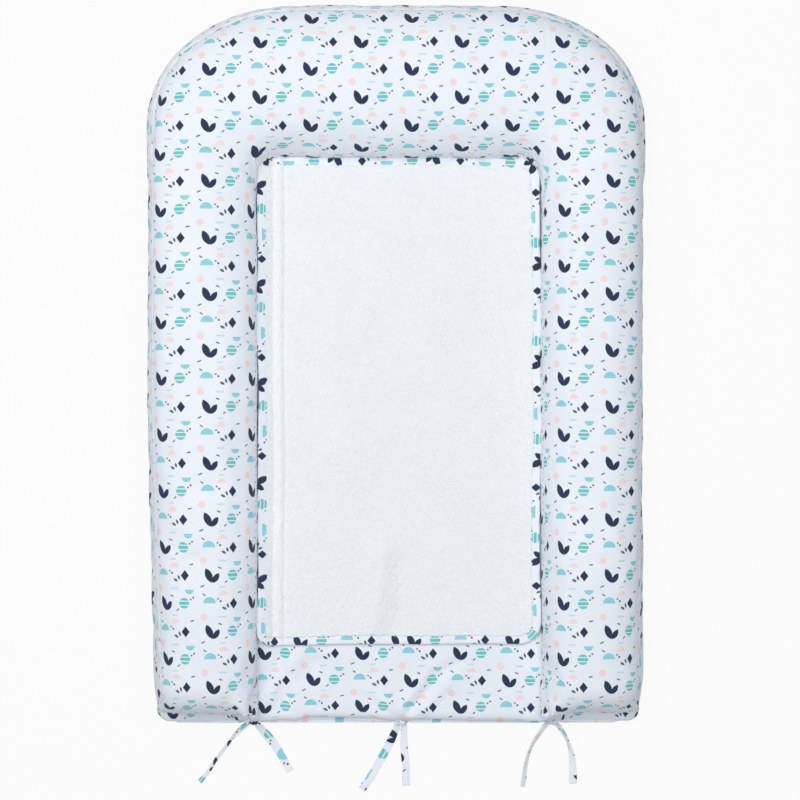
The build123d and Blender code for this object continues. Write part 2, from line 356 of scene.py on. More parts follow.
def well_distance(x, y):
    """How far outside the well a place is: below 0 in the well, which is open at the foot."""
    over_x = np.abs(x - towel_shift) - (well_half - well_corner)
    over_y = y - (well_head_y - well_corner)
    outside = np.hypot(np.maximum(over_x, 0), np.maximum(over_y, 0))
    return outside + np.minimum(np.maximum(over_x, over_y), 0) - well_corner


def edge_distances(x, y):
    """Distances in from the side and from the foot, which fall to 0 on the rounded foot corners."""
    side, foot = side_distance(x, y), y - foot_y
    nearer = np.minimum(side, foot)
    in_corner = (side < foot_corner) & (foot < foot_corner)
    rounded_in = foot_corner - np.hypot(foot_corner - side, foot_corner - foot)
    cut = nearer - np.where(in_corner, rounded_in, nearer)
    return side - cut, foot - cut


def seam_inset(x, foot_distance):
    """How far in from the outline the top seam runs. It is sewn a little to the left."""
    full = 5 * MM - 1.6 * MM * x / half_width
    return full * smooth_step(foot_distance, corner_start, corner_end)


def swell(share, power):
    """A quarter of a superellipse: steep at share 0 and level at share 1."""
    share = np.clip(share, 0, 1)
    return (1 - (1 - share) ** power) ** (1 / power)


def pad_height(x, y):
    """Height of the pad's top at a place in plan."""
    side, foot = edge_distances(x, y)
    side, foot = np.maximum(side, 0), np.maximum(foot, 0)
    well = well_distance(x, y)
    apron = well_floor - apron_drop * np.clip((apron_length - foot) / apron_length, 0, 1)
    share = np.clip(well / np.maximum(well + side, 1e-6), 0, 1)
    fall = foot_fall * (1 - smooth_step(foot, 0, foot_fall_reach))
    crest = pad_top + crown - fall + 1.3 * MM * ripple(x, y, 0.16, 3)
    inner = apron + (crest - apron) * swell(share / crest_share, inner_power)
    side_z = blend_to(hem_top_z, side_bulge_z, smooth_step(foot, corner_start, corner_end))
    outer = side_z + (crest - side_z) * swell((1 - share) / (1 - crest_share), outer_power)
    body = np.where(well > 0, np.where(share < crest_share, inner, outer), apron)
    on_bolster = smooth_step(well, 0, 30 * MM)
    roll = blend_to(apron_lip, foot_roll, on_bolster)
    power = blend_to(outer_power, roll_power, on_bolster)
    rolled = (body - hem_top_z) * swell((foot - skirt_length * on_bolster) / roll, power)
    skirt = skirt_height * on_bolster * swell(foot / skirt_length, 2) * swell(side / skirt_length, 2)
    return hem_top_z + np.cbrt(rolled**3 + skirt**3)


def leaned(points):
    """Points of the pad with its left side brought in towards the foot and out above the middle."""
    x, y = points[:, 0], points[:, 1]
    lean = blend_to(foot_lean, head_lean, smooth_step(y, foot_y, pad_middle_y))
    lean = lean * smooth_step(-y, 20 * MM - head_y, head_corner_depth - head_y)
    moved = points.copy()
    moved[:, 0] += lean * smooth_step(-x, well_half, half_width)
    return moved


def stretched_scale(places, heights):
    """Distance along a profile for each place across it."""
    steps = np.hypot(np.diff(places), np.diff(heights))
    return np.concatenate([[0], np.cumsum(steps)])


class Unrolling:
    """Plan places laid out by their distance over the bolsters, so that a grid stays even on slopes."""

    def __init__(self):
        fine = 0.05 * MM
        self.x = np.arange(-half_width, half_width + fine, fine)
        self.y = np.concatenate([
            foot_y + np.linspace(0, 1, 400) ** 3 * 2 * MM,
            np.arange(foot_y + 2.05 * MM, head_y, fine),
            [head_y],
        ])
        across = pad_height(self.x, np.full_like(self.x, pad_middle_y))
        middle = pad_height(np.zeros_like(self.y), self.y)
        bolster_x = (well_half + half_width) / 2
        beside = pad_height(np.full_like(self.y, bolster_x), self.y)
        near_foot = self.y < foot_y + 2 * foot_roll
        self.flat_x = stretched_scale(self.x, across)
        rise = np.where(near_foot[1:], np.diff(beside), np.diff(middle))
        steps = np.hypot(np.diff(self.y), rise)
        self.flat_y = np.concatenate([[0], np.cumsum(steps)])

    def unroll(self, plan):
        x = np.interp(plan[:, 0], self.x, self.flat_x)
        y = np.interp(plan[:, 1], self.y, self.flat_y)
        return np.stack([x, y], axis=1)

    def roll_back(self, flat):
        x = np.interp(flat[:, 0], self.flat_x, self.x)
        y = np.interp(flat[:, 1], self.flat_y, self.y)
        return np.stack([x, y], axis=1)


class PadSurface:
    """The cover's whole surface as one closed mesh of triangles, with its panels' faces and rims."""

    def __init__(self, spacing, back_spacing):
        line, normals, along = pad_outline(spacing)
        self.count = len(line)
        self.along = along
        side, foot = edge_distances(line[:, 0], line[:, 1])
        foot_distance = line[:, 1] - foot_y
        inset = seam_inset(line[:, 0], foot_distance)
        rise = smooth_step(foot_distance, corner_start, corner_end)
        top_ring = line - normals * inset[:, None]
        top_z = np.where(rise > 0, pad_height(top_ring[:, 0], top_ring[:, 1]), hem_top_z)
        low_ring = line - normals * (heel_inset * rise)[:, None]
        mouth = smooth_step(-foot_distance, -corner_start, 0)
        low_z = back_seam_z - mouth * 0.6 * MM
        self.add_top(top_ring, top_z, spacing)
        self.add_band(line, normals, top_z, inset, rise, low_ring, low_z, spacing)
        self.add_back(line, normals, low_z, back_spacing)

    def add_top(self, ring, ring_z, spacing):
        unrolling = Unrolling()

        def allowed(grid):
            plan = unrolling.roll_back(grid)
            side, foot = edge_distances(plan[:, 0], plan[:, 1])
            return (side > seam_inset(plan[:, 0], plan[:, 1] - foot_y)) & (foot > 0)

        flat_ring = unrolling.unroll(ring)
        flat_inner = loose_points(flat_ring, spacing, allowed)
        inner = unrolling.roll_back(flat_inner)
        inner_z = pad_height(inner[:, 0], inner[:, 1])
        self.top_faces = triangulate(flat_ring, flat_inner)
        plan = np.vstack([ring, inner])
        self.points = np.column_stack([plan, np.concatenate([ring_z, inner_z])])
        self.top_total = len(self.points)
        self.top_rim = np.arange(self.count)

    def add_band(self, line, normals, top_z, inset, rise, low_ring, low_z, spacing):
        """The side band, laid out flat by distance round the pad and height, then bent round it."""
        inside = np.flatnonzero(rise > 0)
        stations = np.arange(inside[0] - 1, inside[-1] + 2)
        height = (top_z - low_z)[stations]
        height[[0, -1]] = 0
        low = np.stack([self.along[stations], np.zeros(len(stations))], axis=1)
        high = np.stack([self.along[stations], height], axis=1)[1:-1][::-1]
        ring = np.vstack([low, high])

        def allowed(grid):
            return grid[:, 1] < np.interp(grid[:, 0], low[:, 0], height) - 0.4 * spacing

        inner = loose_points(ring, spacing, allowed)
        place = np.interp(inner[:, 0], low[:, 0], np.arange(len(stations)))
        before = np.minimum(place.astype(int), len(stations) - 2)
        part = (place - before)[:, None]

        def along_band(values):
            chosen = values[stations]
            return chosen[before] + (chosen[before + 1] - chosen[before]) * part

        share = inner[:, 1] / np.maximum(np.interp(inner[:, 0], low[:, 0], height), 1e-6)
        side_inset = along_band(inset[:, None])[:, 0]
        full = along_band(rise[:, None])[:, 0]
        bulge = 4 * share * (1 - share) * 4.2 * MM * full
        depth = blend_to(heel_inset * full, side_inset, share) - bulge
        plan = along_band(line) - along_band(normals) * depth[:, None]
        z = blend_to(along_band(low_z[:, None])[:, 0], along_band(top_z[:, None])[:, 0], share)
        first_low = len(self.points)
        # The low ring is shared with the back panel. Its two ends are the top ring's own points.
        low_points = np.column_stack([low_ring, low_z])
        self.low_index = np.arange(first_low, first_low + self.count)
        self.low_index[stations[[0, -1]]] = stations[[0, -1]]
        self.points = np.vstack([self.points, low_points, np.column_stack([plan, z])])
        first_inner = first_low + self.count
        names = np.concatenate([
            self.low_index[stations],
            stations[1:-1][::-1],
            np.arange(first_inner, first_inner + len(inner)),
        ])
        local = triangulate(ring, inner)
        self.band_faces = names[local]
        self.band_uv = np.vstack([ring, inner])[local]
        self.band_rims = [self.low_index[stations], stations]

    def add_back(self, line, normals, low_z, spacing):
        """The back panel: its rim rolls under the heel and lies flat on the table."""
        rows = [self.low_index]
        faces = []
        for share in (0.3, 0.55, 0.75, 0.9, 1.0):
            turn = share * math.pi / 2
            reach = heel_inset + (heel_reach - heel_inset) * math.sin(turn) ** 2
            z = rest_z + (low_z - rest_z) * (1 - math.sin(turn))
            first = len(self.points)
            plan = drawn_in(line, normals, reach)
            self.points = np.vstack([self.points, np.column_stack([plan, z])])
            row = np.arange(first, first + self.count)
            above, nxt = rows[-1], np.roll(np.arange(self.count), -1)
            quads = np.column_stack([above, row, row[nxt], above[nxt]])
            faces += [quads[:, [0, 1, 2]], quads[:, [0, 2, 3]]]
            rows.append(row)
        ring = self.points[rows[-1]][:, :2]
        inner = loose_points(ring, spacing, lambda grid: side_distance(*grid.T) > heel_reach)
        lift = 1.2 * MM * np.maximum(ripple(inner[:, 0], inner[:, 1], 0.12, 9), 0)
        edge = smooth_step(side_distance(*inner.T), heel_reach, 6 * heel_reach)
        first = len(self.points)
        self.points = np.vstack([self.points, np.column_stack([inner, rest_z + lift * edge])])
        names = np.concatenate([rows[-1], np.arange(first, first + len(inner))])
        flat = names[triangulate(ring, inner)][:, ::-1]
        whole = np.vstack(faces + [flat])
        # Triangles that share a doubled point at the band's ends have no area.
        sound = (whole[:, 0] != whole[:, 1]) & (whole[:, 1] != whole[:, 2]) & (whole[:, 0] != whole[:, 2])
        self.back_faces = whole[sound]
        self.back_rim = self.low_index
        self.flat_back = np.arange(first, first + len(inner))


# ---------------------------------------------------------------- cover

def slope_excess(reach, rise, power, count=400):
    """How much longer a swelling profile is than its plan, measured from its level end."""
    across = np.linspace(0, 1, count) ** 3 * reach
    height = rise * swell(across / reach, power)
    length = stretched_scale(across, height)
    return across, (length[-1] - length) - (reach - across)


def top_fabric_places(plan, faces):
    """Where the print lies on the top panel: flat on the crests, and let down over each slope."""
    x, y = plan.T
    bolster = half_width - well_half
    rise = pad_top + crown - well_floor
    step = 0.1 * MM
    well = well_distance(x, y)
    side, foot = edge_distances(x, y)
    beside = x - towel_shift
    over_x = np.maximum(np.abs(beside) - (well_half - well_corner), 0) * np.sign(beside)
    over_y = np.maximum(y - (well_head_y - well_corner), 0)
    away = np.stack([over_x, over_y], axis=1)
    away /= np.maximum(np.linalg.norm(away, axis=1, keepdims=True), 1e-9)
    across, more = slope_excess(crest_share * bolster, rise, inner_power)
    inward = np.interp(np.maximum(well, 0), across, more)
    outside_x = side_distance(x - step, y) - side_distance(x + step, y)
    outside_y = side_distance(x, y - step) - side_distance(x, y + step)
    out = np.stack([outside_x, outside_y], axis=1) / (2 * step)
    side_rise = pad_top + crown - side_bulge_z
    across, more = slope_excess((1 - crest_share) * bolster, side_rise, outer_power)
    outward = np.interp(side, across, more)
    across, more = slope_excess(foot_roll, pad_top + crown - foot_fall - hem_top_z, roll_power)
    up_the_end = np.maximum(foot - skirt_length, 0)
    downward = np.interp(up_the_end, across, more) * smooth_step(well, 0, 30 * MM)
    over_bolster = plan - away * inward[:, None] + out * outward[:, None]
    over_bolster[:, 1] -= downward
    in_well = well[faces].mean(1) < 0
    return np.where(in_well[:, None, None], plan[faces], over_bolster[faces])


def inflate(points, faces, held, drawn_in):
    """Cloth simulation of the stuffed cover. held is 1 where it can't move, drawn_in 1 along seams."""
    cloth_object = new_object("stuffed_cover", points, faces)
    for name, weights in (("held", held), ("drawn_in", drawn_in)):
        group = cloth_object.vertex_groups.new(name=name)
        for index in np.flatnonzero(weights > 0):
            group.add([int(index)], float(weights[index]), "REPLACE")
    modifier = cloth_object.modifiers.new("cloth", "CLOTH")
    settings = modifier.settings
    settings.quality = 6
    settings.mass = 0.15
    settings.tension_stiffness = settings.compression_stiffness = 22
    settings.shear_stiffness = 8
    settings.bending_stiffness = 0.25
    settings.tension_damping = settings.compression_damping = 12
    settings.air_damping = 2
    settings.vertex_group_mass = "held"
    settings.pin_stiffness = 2
    settings.use_pressure = True
    settings.uniform_pressure_force = stuffing_pressure
    settings.vertex_group_shrink = "drawn_in"
    settings.shrink_min = -cover_slack
    settings.shrink_max = seam_gather
    settings.effector_weights.gravity = 0
    modifier.collision_settings.use_self_collision = False
    scene.frame_start, scene.frame_end = 1, settle_frames
    for frame_number in range(1, settle_frames + 1):
        scene.frame_set(frame_number)
    shaped = cloth_object.evaluated_get(bpy.context.evaluated_depsgraph_get()).to_mesh()
    moved = np.zeros(len(points) * 3)
    shaped.vertices.foreach_get("co", moved)
    bpy.data.objects.remove(cloth_object)
    scene.frame_set(1)
    return moved.reshape(-1, 3)


def capped(rest, moved, cap):
    """The moved points, none further from rest than its cap."""
    shift = moved - rest
    length = np.linalg.norm(shift, axis=1)
    return rest + shift * (cap / np.maximum(length + cap, 1e-9))[:, None]


def add_folds(points, normals, folds, sharpness=2.0):
    """Soft folds: (start, end, height, width) lines in plan that lift the surface along its normal."""
    x, y = points[:, 0], points[:, 1]
    lift = np.zeros(len(points))
    for start, end, height, width in folds:
        way = np.subtract(end, start)
        length = math.hypot(*way)
        along = ((x - start[0]) * way[0] + (y - start[1]) * way[1]) / length
        off = ((x - start[0]) * way[1] - (y - start[1]) * way[0]) / length
        ends = smooth_step(along, -0.1 * length, 0.25 * length)
        ends = ends * smooth_step(-along, -1.1 * length, -0.75 * length)
        lift += height * ends * np.exp(-np.abs(off / width) ** sharpness)
    return points + normals * lift[:, None]


def mouth_wander(x):
    """How far in from a straight foot edge the cover's soft mouth lies."""
    uneven = 0.6 * MM + 1.1 * MM * ripple(x, x * 0, 0.1, 75)
    slack = 3.2 * MM * np.exp(-(((x + 55 * MM) / (52 * MM)) ** 4))
    bump = 2.6 * MM * np.exp(-(((x + 104 * MM) / (8 * MM)) ** 2))
    return np.maximum(uneven + slack - bump, -0.5 * MM)


def pucker_at_knots(points, normals):
    """Small folds that fan out over the foot from where each pair of ties draws the hem together."""
    result = points.copy()
    for number, knot_name in enumerate(knot_names):
        low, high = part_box(knot_name)
        from_x = points[:, 0] - (low.x + high.x) / 2
        from_y = points[:, 1] - foot_y
        away = np.hypot(from_x, from_y)
        angle = np.arctan2(from_y, from_x)
        fade = np.exp(-((away / pucker_reach) ** 1.5)) * smooth_step(away, 0, 8 * MM)
        waves = np.sin(angle * (7 + number) + 2.1 * number + away / (14 * MM))
        result += normals * (pucker_height * fade * waves)[:, None]
    return result


def sewn_panel(name, points, normals, faces, corner_uv):
    """One panel of the cover, its rim turned in as a seam allowance, as thick as cotton."""
    edges = np.vstack([faces[:, [0, 1]], faces[:, [1, 2]], faces[:, [2, 0]]])
    size = len(points)
    keys = edges[:, 0] * size + edges[:, 1]
    rim = edges[~np.isin(keys, edges[:, 1] * size + edges[:, 0])]
    place_of = np.zeros((size, 2))
    place_of[faces] = corner_uv
    used = np.unique(faces)
    rim_points = np.unique(rim)
    new_name = np.full(size, -1)
    new_name[used] = np.arange(len(used))
    turned_name = np.full(size, -1)
    turned_name[rim_points] = len(used) + np.arange(len(rim_points))
    turned = points[rim_points] - normals[rim_points] * seam_depth
    first, second = rim.T
    quads = np.column_stack([
        new_name[second], new_name[first], turned_name[first], turned_name[second]
    ])
    quad_uv = place_of[np.column_stack([second, first, first, second])]
    all_faces = [*new_name[faces].tolist(), *quads.tolist()]
    uv = np.vstack([corner_uv.reshape(-1, 2), quad_uv.reshape(-1, 2)])
    panel = new_object(name, np.vstack([points[used], turned]), all_faces, uv)
    fine = panel.modifiers.new("fine", "SUBSURF")
    fine.levels = fine.render_levels = 1
    fine.uv_smooth = "NONE"
    thick = panel.modifiers.new("cotton", "SOLIDIFY")
    thick.thickness = cotton_thickness
    thick.offset = -1
    return panel


def make_cover():
    """The cover's top panel, side band and back panel, stuffed by a cloth simulation."""
    surface = PadSurface(cover_spacing, back_spacing)
    points = surface.points
    faces = np.vstack([surface.top_faces, surface.band_faces, surface.back_faces])
    top_uv = top_fabric_places(points[:surface.top_total, :2], surface.top_faces)
    x, y = points[:, 0], points[:, 1]
    well, foot = well_distance(x, y), y - foot_y
    is_top = np.arange(len(points)) < surface.top_total
    held = np.full(len(points), 0.0)
    held[is_top & (well < -3 * MM)] = 0.75
    held[is_top & (well < -3 * MM) & (foot > 0.9 * apron_length)] = 1
    held[np.unique(surface.back_faces)] = 1
    held[surface.top_rim[rising(surface) <= 0]] = 1
    drawn = np.zeros(len(points))
    drawn[surface.top_rim] = 1
    shape = points
    moved = inflate(points, faces, held, drawn)
    cap = np.where(is_top & (well < 0), 1.5 * MM, cover_cap)
    shape = capped(points, moved, cap)
    shape = smoothed(shape, faces, held, 1, 0.4)
    normals = vertex_normals(shape, faces)
    shape = add_folds(shape, normals, cover_folds)
    shape = pucker_at_knots(shape, normals)
    side, foot = edge_distances(x, y)
    at_mouth = np.exp(-np.maximum(foot, 0) / (30 * MM)) * smooth_step(side, 0, 30 * MM)
    shape[:, 1] += mouth_wander(x) * at_mouth
    shape[:, 2] = np.maximum(shape[:, 2], rest_z)
    shape = leaned(shape)
    normals = vertex_normals(shape, faces)
    panels = {}
    for name, panel_faces, uv in (
        ("cover_top", surface.top_faces, top_uv),
        ("cover_band", surface.band_faces, surface.band_uv),
        ("cover_back", surface.back_faces, shape[surface.back_faces][:, :, :2]),
    ):
        panels[name] = sewn_panel(name, shape, normals, panel_faces, uv)
    return panels


def rising(surface):
    rim = surface.points[surface.top_rim]
    return smooth_step(rim[:, 1] - foot_y, corner_start, corner_end)


def swept(name, centres, outs, ups, section, uv_shift=(0, 0), caps=True):
    """A closed section carried along a line of centres. Section points are (out, up) pairs."""
    section = np.asarray(section)
    if section.ndim == 2:
        section = np.broadcast_to(section, (len(centres), *section.shape))
    size = section.shape[1]
    points = (
        centres[:, None, :]
        + outs[:, None, :] * section[:, :, :1]
        + ups[:, None, :] * section[:, :, 1:]
    )
    along = np.concatenate([[0], np.cumsum(np.linalg.norm(np.diff(centres, axis=0), axis=1))])
    girth = np.linalg.norm(np.diff(section[0], axis=0, append=section[0][:1]), axis=1)
    around = np.concatenate([[0], np.cumsum(girth)])
    faces, uv = [], []
    closed = not caps
    stations = len(centres)
    for station in range(stations if closed else stations - 1):
        after = (station + 1) % stations
        far = along[station] + np.linalg.norm(centres[after] - centres[station])
        for point in range(size):
            beside = (point + 1) % size
            faces.append([
                station * size + point, after * size + point,
                after * size + beside, station * size + beside,
            ])
            low, high = around[point], around[point + 1]
            uv += [(along[station], low), (far, low), (far, high), (along[station], high)]
    if caps:
        first = list(range(size))
        last = [(stations - 1) * size + point for point in range(size)]
        faces += [first, last[::-1]]
        for station, ring in ((0, first), (stations - 1, last[::-1])):
            uv += [(along[station], around[point % size]) for point in ring]
    return new_object(name, points.reshape(-1, 3), faces, np.array(uv) + uv_shift)


def refine(piece, levels=1):
    fine = piece.modifiers.new("fine", "SUBSURF")
    fine.levels = fine.render_levels = levels
    fine.uv_smooth = "NONE"
    return piece


def make_hem(name, low, high, seed, proud, follow):
    """A folded hem along one lip of the mouth, with a fat rolled edge and a sunken row of stitches.

    proud is how far it passes the cover's edge, and follow how closely it keeps to that edge's waves.
    """
    stations = np.linspace(low.x, high.x, 241)
    half = (high.z - low.z) / 2
    at_end = smooth_step(high.x - np.abs(stations), 0, 25 * MM)
    lip = foot_y + mouth_wander(stations) * at_end
    reach = proud * at_end - 1.5 * MM * (1 - at_end)
    edge = foot_y + (lip - foot_y) * follow - reach + 0.3 * MM * ripple(stations, stations * 0, 0.04, seed)
    for knot_name in knot_names:
        knot_low, knot_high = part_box(knot_name)
        near = np.exp(-(((stations - (knot_low.x + knot_high.x) / 2) / (9 * MM)) ** 2))
        edge = edge + near * (low.y + 0.6 * MM - edge)
    edge = np.maximum(edge, low.y - 3.6 * MM)
    back = lip + 4 * MM
    z = (low.z + high.z) / 2 + 0.5 * MM * ripple(stations, stations * 0, 0.06, seed + 1)
    profile = [
        (0, 0.0), (0.04, 0.85), (0.16, 1.25), (0.3, 0.7), (0.4, 1.15), (0.7, 1.2), (1, 0.9),
        (1, -0.9), (0.7, -1.2), (0.4, -1.15), (0.3, -0.7), (0.16, -1.25), (0.04, -0.85),
    ]
    section = np.array([
        [((1 - share) * depth, thick * half) for share, thick in profile] for depth in edge - back
    ])
    centres = np.column_stack([stations, back, z])
    outs = np.tile((0.0, 1.0, 0.0), (len(stations), 1))
    ups = np.tile((0.0, 0.0, 1.0), (len(stations), 1))
    return refine(swept(name, centres, outs, ups, section, (low.x, foot_y)))


# ---------------------------------------------------------------- towel

def towel_outline(inset, spacing):
    """The towel's outline, counter-clockwise from the middle of its foot edge, with outward normals."""
    left, right = towel_low.x + towel_shift + inset, towel_high.x + towel_shift - inset
    foot, head = towel_low.y + inset, towel_high.y - inset
    wide, small = towel_corner - inset, towel_left_corner - inset
    quarter = math.pi / 2
    line = np.vstack([
        [((left + right) / 2, foot)],
        arc((right - wide, foot + wide), wide, -quarter, 0),
        arc((right - wide, head - wide), wide, 0, quarter),
        arc((left + small, head - small), small, quarter, 2 * quarter),
        arc((left + small, foot + small), small, 2 * quarter, 3 * quarter),
    ])
    line, along = evenly(line, spacing, closed=True)
    way = np.roll(line, -1, axis=0) - np.roll(line, 1, axis=0)
    way /= np.linalg.norm(way, axis=1, keepdims=True)
    normals = np.stack([way[:, 1], -way[:, 0]], axis=1)
    wander = 0.9 * MM * ripple(line[:, 0], line[:, 1], 0.12, 21)
    return line + normals * wander[:, None], normals


def towel_middle(x, y):
    """Height of the towel's middle layer, which lies in the well with its left edge on the slope."""
    middle = (terry_low.z + terry_high.z) / 2
    left = towel_low.x + towel_shift
    right = towel_high.x + towel_shift
    z = middle + 0.6 * MM * (1 + ripple(x, y, 0.09, 31))
    z = z + 8 * MM * smooth_step(-x, -left - 19 * MM, -left)
    z = z + 2.5 * MM * smooth_step(x, right - 14 * MM, right)
    crease = left + 27 * MM + 1.2 * MM * ripple(y * 0, y, 0.3, 33)
    z = z - 1.5 * MM * np.exp(-(((x - crease) / (1.3 * MM)) ** 2))
    z = z + 1.5 * MM * np.exp(-(((x - crease + 5 * MM) / (3.5 * MM)) ** 2))
    z = z - 0.9 * MM * np.exp(-(((x - crease + 12 * MM) / (1.3 * MM)) ** 2))
    flat = np.column_stack([x, y, np.zeros_like(x)])
    up = np.tile((0.0, 0.0, 1.0), (len(x), 1))
    return z + add_folds(flat, up, towel_folds)[:, 2]


def make_terry():
    """The terry, a thick looped cloth: its pile is shaped into the mesh and laps over the binding."""
    draw = np.random.default_rng(5)
    ring, normals = towel_outline(terry_inset, terry_spacing)
    ring = ring + normals * draw.normal(0, 0.5 * MM, len(ring))[:, None]
    inner = loose_points(ring, terry_spacing)
    coarse = loose_points(ring, 5 * terry_spacing)
    upper = np.vstack([ring, inner])
    x, y = upper.T
    half = (terry_high.z - terry_low.z) / 2
    pile = 0.16 * MM * ripple(x, y * 0.4, 5 * MM, 41, 24) + 0.16 * MM * ripple(x, y * 0.6, 3 * MM, 42, 24)
    pile = pile + draw.normal(0, 0.2 * MM, len(x))
    top_z = towel_middle(x, y) + half * 1.1 + pile
    top_z[:len(ring)] += 0.3 * MM
    low_z = towel_middle(*coarse.T) - half
    low_ring_z = towel_middle(*ring.T) - half
    points = np.vstack([
        np.column_stack([upper, top_z]),
        np.column_stack([ring, low_ring_z]),
        np.column_stack([coarse, low_z]),
    ])
    top_faces = triangulate(ring, inner)
    count, start = len(ring), len(upper)
    low_faces = start + triangulate(ring, coarse)[:, ::-1]
    here = np.arange(count)
    after = np.roll(here, -1)
    edge = np.column_stack([here, start + here, start + after, after])
    return new_object("terry", points, [*top_faces.tolist(), *low_faces.tolist(), *edge.tolist()])


def make_binding():
    """The towel's printed cotton binding, folded over the terry's edge and a little puffed."""
    line, normals = towel_outline(binding_width / 2, 3 * MM)
    x, y = line.T
    step = 1 * MM
    z = towel_middle(x, y)
    further = line + normals * step
    rise = (towel_middle(*further.T) - towel_middle(*(line - normals * step).T)) / (2 * step)
    outs = np.column_stack([normals, rise])
    outs /= np.linalg.norm(outs, axis=1, keepdims=True)
    alongs = np.column_stack([-normals[:, 1], normals[:, 0], np.zeros(len(line))])
    ups = np.cross(outs, alongs)
    ups *= np.sign(ups[:, 2:])
    half = binding_width / 2
    thick = 1.75 * MM
    profile = [
        (1.0, 0.0), (0.95, 0.55), (0.72, 0.98), (0.35, 1.08), (-0.1, 1.02), (-0.5, 0.92),
        (-0.7, 0.74), (-0.86, 0.86), (-0.98, 0.7), (-1.0, 0.0), (-0.98, -0.6), (-0.7, -0.75),
        (-0.1, -0.9), (0.5, -0.9), (0.93, -0.6),
    ]
    puff = 1 + 0.1 * ripple(x, y, 0.018, 51)
    section = np.array([[(a * half, b * thick * p) for a, b in profile] for p in puff])
    centres = np.column_stack([line, z])
    return refine(swept("binding", centres, outs, ups, section, (0, 8 * MM), caps=False))


# ---------------------------------------------------------------- ties and knots

def route_line(points):
    """The smooth line of a cord's route, as points read from its NURBS spline."""
    curve = bpy.data.curves.new("route", "CURVE")
    curve.dimensions = "3D"
    spline = curve.splines.new("NURBS")
    spline.points.add(len(points) - 1)
    for point, place in zip(spline.points, points):
        point.co = (*place, 1)
    spline.order_u = 3
    spline.use_endpoint_u = True
    spline.resolution_u = 24
    holder = bpy.data.objects.new("route", curve)
    mesh = bpy.data.meshes.new_from_object(holder)
    line = np.array([vertex.co for vertex in mesh.vertices], float)
    bpy.data.objects.remove(holder)
    bpy.data.meshes.remove(mesh)
    bpy.data.curves.remove(curve)
    return line


def make_tie(name, line, turns, narrow, uv_shift):
    """A flat sewn ribbon along a line. turns are (share, degrees) of twist, narrow of folded width."""
    centres, along = evenly(line, 1.4 * MM)
    share = along / along[-1]
    way = np.gradient(centres, axis=0)
    way /= np.linalg.norm(way, axis=1, keepdims=True)
    level = np.cross((0, 0, 1.0), way)
    level /= np.linalg.norm(level, axis=1, keepdims=True)
    above = np.cross(way, level)
    twist = np.radians(np.interp(share, *zip(*turns)))[:, None]
    outs = level * np.cos(twist) + above * np.sin(twist)
    ups = above * np.cos(twist) - level * np.sin(twist)
    width = np.interp(share, *zip(*narrow)) * ribbon_width / 2
    width = width * (1 + 0.05 * ripple(along, along * 0, 0.014, 61))
    half = ribbon_thickness / 2
    profile = [
        (1.0, 0.0), (0.96, 0.7), (0.8, 0.95), (0.68, 0.7), (0.3, 0.95), (-0.3, 0.95), (-0.68, 0.7),
        (-0.8, 0.95), (-0.96, 0.7), (-1.0, 0.0), (-0.96, -0.7), (-0.7, -0.9), (0.0, -0.8),
        (0.7, -0.9), (0.96, -0.7),
    ]
    cup = 0.35 * MM * ripple(along, along * 0, 0.02, 62)
    section = np.array([
        [(a * w, b * half + c * a * a) for a, b in profile] for w, c in zip(width, cup)
    ])
    lowest = (outs[:, None, 2] * section[:, :, 0] + ups[:, None, 2] * section[:, :, 1]).min(1)
    lift = np.maximum(rest_z - lowest - centres[:, 2], 0)
    centres = centres + np.column_stack([np.zeros((len(lift), 2)), lift])
    return refine(swept(name, centres, outs, ups, section, uv_shift)), centres


def make_knot(name, low, high, seed):
    """An overhand knot of scrunched ribbon: a trefoil loop that fills the knot's place in the frame."""
    turn = np.linspace(0, 2 * math.pi, 96, endpoint=False)
    loop = np.column_stack([
        np.sin(turn) + 2 * np.sin(2 * turn),
        np.sin(3 * turn) * 1.3,
        np.cos(turn) - 2 * np.cos(2 * turn),
    ])
    half_size = (np.array(high) - np.array(low)) / 2
    ribbon = 2.3 * MM
    loop = loop / np.abs(loop).max(0) * (half_size - ribbon * 0.75)
    tilt = math.radians(20) * (seed % 3 - 1)
    x, z = loop[:, 0].copy(), loop[:, 2].copy()
    loop[:, 0] = x * math.cos(tilt) - z * math.sin(tilt)
    loop[:, 2] = x * math.sin(tilt) + z * math.cos(tilt)
    centres = loop + (np.array(high) + np.array(low)) / 2 + (0, knot_tuck, 0)
    way = np.roll(centres, -1, axis=0) - np.roll(centres, 1, axis=0)
    way /= np.linalg.norm(way, axis=1, keepdims=True)
    outward = loop / np.linalg.norm(loop, axis=1, keepdims=True)
    outs = np.cross(way, outward)
    outs /= np.linalg.norm(outs, axis=1, keepdims=True)
    ups = np.cross(way, outs)
    around = np.linspace(0, 2 * math.pi, 14, endpoint=False)
    twist = turn[:, None]
    creases = 1 + 0.17 * np.sin(4 * around + 3 * twist + seed) + 0.1 * np.sin(7 * around - 5 * twist)
    section = np.stack([
        1.2 * ribbon * np.cos(around) * creases, 0.62 * ribbon * np.sin(around) * creases
    ], axis=2)
    return refine(swept(name, centres, outs, ups, section, (0.03 * seed, 0), caps=False))


# ---------------------------------------------------------------- materials

def linear(red, green, blue):
    """A screen colour, 0 to 255, as the shader's linear one."""
    values = [channel / 255 for channel in (red, green, blue)]
    straight = [v / 12.92 if v <= 0.04045 else ((v + 0.055) / 1.055) ** 2.4 for v in values]
    return (*straight, 1)


